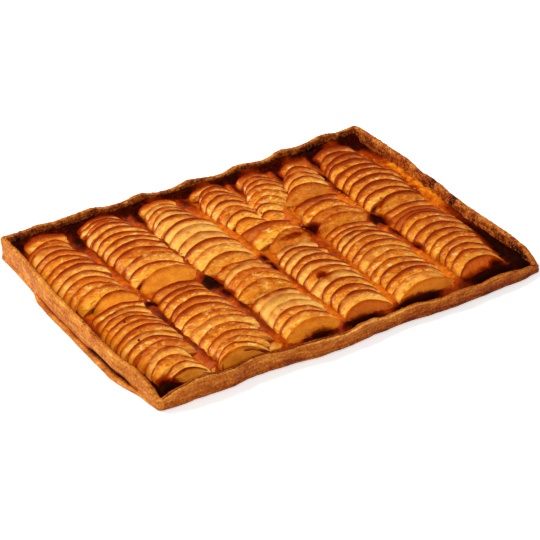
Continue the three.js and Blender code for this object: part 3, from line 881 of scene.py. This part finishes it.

# %% [markdown]
# ## Where the slices lie
# Each fan is half an apple. Its crests are listed from the back to the front as x and y, as they
# lie in the photo. The first slices of a fan are low and narrow, the next ones rise to full
# height, and the last one shows its whole face.

# %% Fans: grooves on both sides, widths of the first, middle and last slices, looks, crests
# The looks are how pale a fan is, how browned its crests are, how pale its last, open face is,
# and how much of a bright orange that face has, which is partly painted light.
FANS = {
    "row_1_back_fan": ("left", "first", (0.76, 1.03, 0.8), (-0.05, 1.05, 0.3, 0.38), [
        (-163.7, 133), (-166.6, 117.6), (-170.6, 106.1), (-173, 94), (-173.1, 83.5),
        (-172.1, 73), (-172.1, 62.5), (-173.1, 49.4), (-171.1, 38.8), (-169.6, 28.8),
        (-168.1, 19.8), (-161, 4.8)]),
    "row_1_front_fan": ("left", "first", (0.9, 1.0, 0.7), (-0.1, 1.05, 0.2, 0.4), [
        (-161.7, -10), (-165.5, -18.7), (-169.7, -29.4), (-170.7, -38.7), (-169.6, -47.7),
        (-169.6, -56.2), (-171.1, -66.2), (-170.1, -75.2), (-167.1, -85.2), (-168.1, -96.2),
        (-169.6, -107.2), (-167.1, -119.2), (-167.1, -130.5)]),
    "row_2_back_fan": ("first", "second", (0.74, 0.98, 0.99), (-0.1, 1.05, 0.3, 0.38), [
        (-105.7, 133.5), (-105.6, 127.1), (-105.6, 119.8), (-106, 112), (-105.1, 102.8),
        (-105.1, 92.2), (-104.1, 82.2), (-104.1, 71.6), (-103.1, 59.2), (-103.1, 44.3),
        (-103.1, 28.8), (-102.1, 14.8)]),
    "row_2_front_fan": ("first", "second", (0.82, 0.98, 0.7), (-0.15, 1.0, 0.2, 0.4), [
        (-104.7, -5.9), (-105.6, -16.9), (-106.6, -28.4), (-107, -41), (-107.1, -53.2),
        (-107.1, -66.8), (-107.1, -79.2), (-107.1, -91.2), (-107.1, -103.8), (-109.1, -113.7),
        (-111.1, -122.7), (-113.1, -130.8)]),
    "row_3_back_fan": ("second", "third", (0.74, 0.97, 0.96), (0.55, 0.8, 0.2, 0.15), [
        (-46.7, 131.5), (-47.8, 121.8), (-48.9, 111.6), (-48.1, 101.8), (-47.1, 90.8),
        (-46.1, 78.4), (-45.1, 65.8), (-44.1, 51.2), (-43.1, 37), (-42.1, 22.8), (-41.1, 7.8)]),
    "row_3_middle_fan": ("second", "third", (0.84, 0.95, 0.95), (-0.05, 0.65, 0.0, 0.15), [
        (-38.7, -6.2), (-39.7, -17.1), (-40.1, -27.8), (-40.1, -38.2), (-40.1, -48.4)]),
    "row_3_front_fan": ("second", "third", (0.82, 0.96, 0.97), (0.65, 0.6, -0.2, 0.4), [
        (-38.7, -64.9), (-39.9, -77.4), (-40.1, -92.2), (-40.1, -102.7), (-40.1, -112.7),
        (-40.1, -126.7)]),
    "row_4_back_fan": ("third", "fourth", (0.72, 0.97, 0.94), (-0.1, 0.9, -0.1, 0.15), [
        (10.3, 130), (9.3, 121.6), (8.5, 111.3), (8, 100.3), (8.5, 89.3), (9, 78.3),
        (9.5, 67.3), (10, 55.3)]),
    "row_5_back_fan": ("fourth", "fifth", (0.78, 1.06, 1.3), (-0.1, 0.85, 0.0, 0.15), [
        (59, 127), (58, 117), (56.5, 107.5), (55.5, 98.5), (54.5, 88.5), (53, 78),
        (51, 68), (48.5, 56.5)]),
    "row_4_middle_fan": ("third", "fifth", (0.88, 0.97, 0.86), (-0.3, 0.7, -0.6, 0.15), [
        (22.3, 40.6), (24.9, 25.8), (25.9, 11.4)]),
    "row_4_front_fan": ("third", "fifth", (0.82, 0.97, 0.84), (0.25, 0.8, -0.7, 0.5), [
        (22.3, -6.4), (20.2, -16.7), (19.1, -26.4), (19.4, -36.9), (19.3, -47.7), (19.3, -60.2),
        (19.3, -72.7), (19.2, -86.2), (19.2, -97.7), (18.9, -110.7), (16.6, -129.2)]),
    "row_5_side_fan": ("fifth", "sixth", (0.84, 0.94, 0.92), (-0.3, 0.8, -0.6, 0.15), [
        (110.5, 123.6), (103.3, 110.3), (97.9, 98.8), (92.9, 87.3), (89.9, 75.8)]),
    "row_5_middle_fan": ("fifth", "sixth", (0.82, 0.92, 0.94), (-0.35, 0.7, -0.4, 0.15), [
        (87.3, 55.6), (84.4, 37.8), (84.9, 24.8), (84.9, 10.3)]),
    "row_5_front_fan": ("fifth", "sixth", (0.84, 0.98, 0.95), (-0.05, 0.95, -0.3, 0.5), [
        (84.3, -4.5), (83.5, -13.2), (82.8, -22.3), (82.3, -31.2), (81.9, -40.1), (81.4, -49.6),
        (80.9, -60.2), (80.9, -71.7), (80.9, -83.2), (80.9, -93.7), (80.9, -105.2),
        (80.9, -116.7), (80.9, -129.2)]),
    "row_6_back_fan": ("sixth", "right", (0.74, 0.97, 0.95), (-0.45, 1.9, -0.3, 0.15), [
        (156.3, 130), (155.7, 117), (154.3, 103.8), (153.9, 91.8), (152.9, 79.4), (152.9, 66.8),
        (152.4, 54.3), (151.9, 41.3), (150.9, 26.8), (151.5, 13)]),
    "row_6_front_fan": ("sixth", "right", (0.92, 0.95, 0.8), (-0.6, 0.95, -1.0, 1.0), [
        (151.3, -3.3), (151.4, -12.5), (151.4, -21.7), (151, -31), (150.9, -41.2),
        (150.4, -52.7), (149.9, -65.2), (149.9, -76.2), (149.9, -87.2), (148.9, -97.8),
        (147.4, -108.7), (144.4, -123.8)]),
    "small_slice_1": ("splitLeft", "splitRight", (0.9, 0.9, 0.9), (-0.3, 0.8, -0.3, 0.15), [
        (-139.7, -132)]),
    "small_slice_2": ("tipLeft", "tipRight", (0.9, 0.9, 0.9), (-0.3, 0.8, -0.3, 0.15), [
        (-79, -131)]),
}
print("fans", len(FANS), "slices", sum(len(fan[4]) for fan in FANS.values()))

# %% [markdown]
# ## Bending a slice into place
# A slice's crest is half an ellipse that stands on the compote. The face falls away from it
# towards the front like a roof tile, and the last slice of a fan leans at full height instead.
# Each slice gets its own small differences in height, turn, thickness and colour.

# %% Shape of a slice in its fan
SLICE_RISE, SLICE_LEAN, FIRST_RISE, FIRST_LEAN, RISE_SHARE = 12, 12, 7, 4, 0.3
ROW_CLEARANCE, WIDEN, FACE_SLOPE, FOOT_ANGLE = 0.5, 0.99, 0.4, math.radians(88)
HIGHEST_RISE, RISE_PER_HALF, ARCH_POWER, SLICE_ADVANCE = 12.4, 0.52, 1.2, 0.92
CREST_TO_MIDDLE, LAST_AHEAD, SIDE_PLAY, OPEN_FACE_LENGTH = 6, 12.0, 1.2, 6.0
FRONT_LIMIT = WALL_FOOT + 2 * GAP - 145


def fan_slices(name):
    """The shape of every slice of a fan, from the back to the front."""
    left, right, widths, (pale, browned, open_pale, clear), crests = FANS[name]
    draw = make_draw(sum(ord(letter) * (i + 3) for i, letter in enumerate(name)))
    slices = []
    for i, (x, y) in enumerate(crests):
        share = i / (len(crests) - 1) if len(crests) > 1 else 1.0
        risen = smooth(0, RISE_SHARE, share)
        width = (mix(widths[0], widths[1], smooth(0, 0.5, share)) if share < 0.5
                 else mix(widths[1], widths[2], smooth(0.5, 1, share)))
        mid_y = y - CREST_TO_MIDDLE
        x0 = between(GROOVES[left], mid_y) + ROW_CLEARANCE
        x1 = between(GROOVES[right], mid_y) - ROW_CLEARANCE
        half = (x1 - x0) / 2 * width * WIDEN * (1 + 0.035 * draw())
        room, middle = (x1 - x0) / 2 - half + SIDE_PLAY, (x0 + x1) / 2
        last = i + 1 == len(crests)
        ahead = LAST_AHEAD if last else y - crests[i + 1][1]
        slices.append({
            "x": middle + min(max(x - middle, -room), room) + 1.3 * draw(),
            "y": y, "half": half,
            "rise": min(mix(FIRST_RISE, SLICE_RISE, risen) + 0.7 * draw(),
                        half * RISE_PER_HALF, HIGHEST_RISE),
            "lean": min(mix(FIRST_LEAN, SLICE_LEAN, smooth(0, 0.15, share)), y - FRONT_LIMIT),
            "ahead": ahead, "last": last, "next_to_last": i + 2 == len(crests),
            # feet_shade_from: where the painted shade on the left feet begins, further up next to
            # the left wall
            "open_face": clear if last else 0.0, "feet_shade_from": 0.3 if left == "left" else 0.55,
            "browned": max(browned * (1.4 - 0.5 * share) + 0.55 * draw(), 0.15),
            "yaw": 0.06 * draw(), "skew": 0.11 * draw(), "thick": 1 + 0.25 * draw(),
            "left_tip": 2.0 + 0.8 * draw() if left == "left" else 1.6 * draw(),
            "right_tip": 2.0 + 2.6 * draw(),
            "tint": (open_pale if last
                     else pale + 0.6 * draw() - 0.15 * (1 - smooth(0, 0.15, share))),
            "seed": 100 * draw(),
        })
    return slices


def face_point(s, angle, down):
    """A point of the slice's face: angle along the crest, down in millimetres from it."""
    across = math.sin(angle + s["skew"] * math.cos(angle))
    tip = smooth(0.55, 1.0, abs(across)) * (s["right_tip"] if across > 0 else -s["left_tip"])
    x = s["x"] + s["half"] * across + tip
    ragged = 1.5 * bumps((x, s["y"], 0), 13, s["seed"]) + 0.7 * bumps((x, s["y"], 0), 5, s["seed"])
    arch = math.cos(angle) ** ARCH_POWER
    y = s["y"] - s["lean"] * (1 - arch) + s["yaw"] * (x - s["x"]) + ragged
    if s["last"]:
        share = down / FACE_LENGTH
        forward = s["lean"] + min(OPEN_FACE_LENGTH, max(s["y"] - s["lean"] - FRONT_LIMIT, 0))
        return Vector((x, y - share * forward * arch,
                       FAN_BOTTOM + s["rise"] * arch * (1 - share)))
    fall = min(down * FACE_SLOPE, s["rise"] - 0.5)
    return Vector((x, y - down * SLICE_ADVANCE, FAN_BOTTOM + arch * (s["rise"] - fall)))


def reach_at(s, angle):
    """How much of the blank's face is used, so that it ends under the next slice."""
    if s["last"]:
        return 1.0
    longest = s["ahead"] * 1.1 + 1.5 if s["next_to_last"] else s["ahead"] * 1.55 + 3
    at_feet = min(s["ahead"] * (0.7 if s["next_to_last"] or angle > 0 else 0.9) / FACE_LENGTH, 1.0)
    return mix(at_feet, min(longest / FACE_LENGTH, 1.25), math.cos(angle) ** 0.6)


def bend(s, co):
    """Takes a point of the blank to its place on the tart, in millimetres."""
    angle = co.x / (ARC_LENGTH / 2) * FOOT_ANGLE
    down = co.y * reach_at(s, angle)
    here = face_point(s, angle, down)
    across = face_point(s, angle + 0.02, down) - face_point(s, angle - 0.02, down)
    forward = face_point(s, angle, down + 0.3) - face_point(s, angle, down - 0.3)
    normal = across.cross(forward)
    normal = Vector((0, 0, 1)) if normal.length < 1e-9 else normal.normalized()
    if normal.z < 0:
        normal = -normal
    wave = 0.4 * bumps(here, 9, s["seed"]) + 0.15 * bumps(here, 3.5, s["seed"])
    taper = mix(0.2, 1.0, math.cos(angle) ** 0.7)
    return here + normal * (co.z * s["thick"] * taper + wave * taper)


# %% Build the fans
def slice_paint(s, co, at):
    """The painted values at a point of a slice: co is its place on the blank, at on the tart."""
    along = abs(co.x) / (ARC_LENGTH / 2)
    down = co.y * reach_at(s, co.x / (ARC_LENGTH / 2) * FOOT_ANGLE)
    edge = max(co.y - 0.3 + co.z, 0) if co.z < -0.2 and co.y < 10 else co.y
    # syrup darkens the feet: partly syrup in the glaze, partly painted shade, which is stronger at
    # the left ends and also darkens the foot strip of a last face
    syrup = (0.35 * smooth(0.8, 1.0, along) if co.x > 0
             else smooth(s["feet_shade_from"], 0.95, along))
    if s["last"]:
        edge, syrup = min(edge, 6.5), max(syrup, 0.6 * smooth(15, 19, co.y))
    return {
        "edge_mm": edge, "syrup": syrup, "tint": s["tint"], "scorch": scorch_at(at, 4.0),
        "gap_mm": 99 if s["last"] else s["ahead"] / SLICE_ADVANCE - down,
        "browned": s["browned"] * (1 + 0.8 * bumps(at, 11, s["seed"] + 7)),
        "along_mm": co.x + 3 * s["seed"], "open_face": s["open_face"],
    }


def make_fan(name):
    bm = bmesh.new()
    layers = {value: bm.verts.layers.float.new(value) for value in PAINTED}
    for s in fan_slices(name):
        start = len(bm.verts)
        bm.from_mesh(slice_blank)
        bm.verts.ensure_lookup_table()
        for vert in bm.verts[start:]:
            co = vert.co.copy()
            at = bend(s, co)
            at.z = max(at.z, COMPOTE_TOP - 0.6)
            for value, number in slice_paint(s, co, at).items():
                vert[layers[value]] = number
            vert.co = (at + PLACE) * MM
    bmesh.ops.recalc_face_normals(bm, faces=bm.faces)
    piece = link_mesh(name + "_slices", bm, apple)
    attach(piece, "root")
    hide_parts(name)
    return piece


fans = {name: make_fan(name) for name in FANS}
print("slice faces", sum(len(piece.data.polygons) for piece in fans.values()))

# %% [markdown]
# ## Crumbs, burnt specks and syrup
# Small loose things lie where the photo has them: pastry crumbs on the rim, black specks on the
# slices, and drops of set syrup in the grooves. Each kind is one piece. A drop is a ball that is
# pressed flat and dented with noise, and it is let down on the tart with a ray from above.

# %% Finishes of the small things
def make_syrup():
    look = Finish("set_syrup", 0.2, Specular_IOR_Level=0.35, Specular_Tint=(1.0, 0.8, 0.55, 1.0),
                  Coat_Weight=0.3, Coat_Roughness=0.08)
    cloud = look.noise(3.5, 3, 0.5)
    look.drive("Base Color", look.ramp(cloud, [
        (0.3, (160, 58, 2)), (0.5, (196, 90, 8)), (0.7, (226, 128, 26))]))
    look.drive("Roughness", look.remap(cloud, 0.3, 0.7, 0.1, 0.3))
    look.bump([(look.noise(1.2, 2, 0.5), 0.15, 0.6)])
    return look.material


def make_burnt_speck():
    look = Finish("burnt_speck", 0.7, Specular_IOR_Level=0.1)
    grain = look.noise(0.6, 3, 0.6)
    look.drive("Base Color", look.ramp(grain, [(0.3, (18, 7, 3)), (0.7, (58, 22, 8))]))
    look.drive("Roughness", look.remap(grain, 0.3, 0.7, 0.5, 0.8))
    look.bump([(grain, 0.2, 0.8)])
    return look.material


syrup, burnt_speck = make_syrup(), make_burnt_speck()

# %% Let the small things down on the tart
bpy.context.view_layer.update()
SURFACES = [crust, compote_layer] + list(fans.values())


def top_at(x, y):
    """The highest point of the tart above x and y, in millimetres."""
    above = Vector((x, y, 60)) + PLACE
    hits = [piece.ray_cast(above * MM, Vector((0, 0, -1))) for piece in SURFACES]
    return max((hit[1].z / MM for hit in hits if hit[0]), default=None)


def scatter(name, material, places, detail=2):
    """One piece of many small balls; places are (x, y, length, width, height, turn, sink)."""
    bm = bmesh.new()
    bake_layer = bm.verts.layers.float.new("bake")
    for x, y, length, width, height, turn, sink in places:
        z = top_at(x, y)
        if z is None or z + height * (1 - sink) > TALLEST:
            continue
        ball = bmesh.ops.create_icosphere(bm, subdivisions=detail, radius=0.5)["verts"]
        for vert in ball:
            vert.co *= 1 + 0.5 * bumps(vert.co, 0.55, x + y)
            vert[bake_layer] = 0.55 + 0.25 * bumps((x, y, 0), 3)
        bmesh.ops.scale(bm, vec=(length, width, height), verts=ball)
        bmesh.ops.rotate(bm, cent=(0, 0, 0), matrix=Euler((0, 0, turn)).to_matrix(), verts=ball)
        bmesh.ops.translate(bm, vec=Vector((x, y, z + height * (0.5 - sink))) + PLACE, verts=ball)
    bmesh.ops.scale(bm, vec=(MM, MM, MM), verts=bm.verts)
    piece = link_mesh(name, bm, material)
    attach(piece, "root")
    return piece


# %% Crumbs on the rim
CRUMB_COUNTS = {"back": 150, "right": 110, "left": 40, "front": 40}


def crumb_places():
    draw = make_draw(77)
    places = []
    for name, count in CRUMB_COUNTS.items():
        for _ in range(count):
            share, inset, size = 0.5 + 0.49 * draw(), 2.8 + 2.4 * draw(), 1.0 + 0.5 * draw()
            (x, y), _ = station_point(name, share, 0, inset)
            places.append((x, y, size * (1.2 + 0.3 * draw()), size, size * 0.8, 3 * draw(), 0.4))
    return places


crumbs = scatter("pastry_crumbs", pastry, crumb_places(), 1)
print("crumb faces", len(crumbs.data.polygons))

# %% Burnt specks, as x, y and size
SPECKS = [
    (-175, -42, 2.0), (-178, -72, 2.2), (-106, -100, 1.8), (-171, -58, 1.1), (-150, -64, 1.0),
    (-120, -66, 0.9), (-152, 28, 1.0), (-88, 40, 0.9), (-50, -98, 1.1), (-32, 60, 0.9),
    (18, -84, 1.2), (28, -38, 1.0), (76, -60, 1.1), (92, -20, 1.0), (150, 70, 1.3), (158, 92, 1.2),
    (144, 50, 1.3), (162, 30, 1.4), (140, -70, 1.1), (156, -40, 1.0), (6, 92, 0.9), (54, 88, 1.0),
]


def speck_places():
    draw = make_draw(5)
    return [(x, y, size * 1.2, size * 0.9, size * 0.5, 3 * draw(), 0.3) for x, y, size in SPECKS]


specks = scatter("burnt_specks", burnt_speck, speck_places())
print("specks", len(SPECKS))

# %% Set syrup, as the line of a groove, from y, to y and how many drops
SYRUP_LINES = [
    ("first", 12, -16, 7), ("second", 50, 5, 4), ("third", 60, 20, 4), ("fourth", 100, 50, 4),
    ("fifth", 30, 5, 5), ("sixth", 60, 25, 3), ("right", 110, -30, 10),
]


def syrup_places():
    draw = make_draw(19)
    places = []
    for groove, y0, y1, count in SYRUP_LINES:
        for i in range(count):
            y = mix(y0, y1, (i + 0.5 + 0.5 * draw()) / count)
            x = between(GROOVES[groove], y) + 3.2 * draw()
            size = 2.4 + 1.3 * draw()
            places.append((x, y, size * (1.3 + 0.4 * draw()), size, 1.1, 1.57 + 0.6 * draw(), 0.45))
    return places


drops = scatter("syrup_drops", syrup, syrup_places())
print("syrup faces", len(drops.data.polygons))
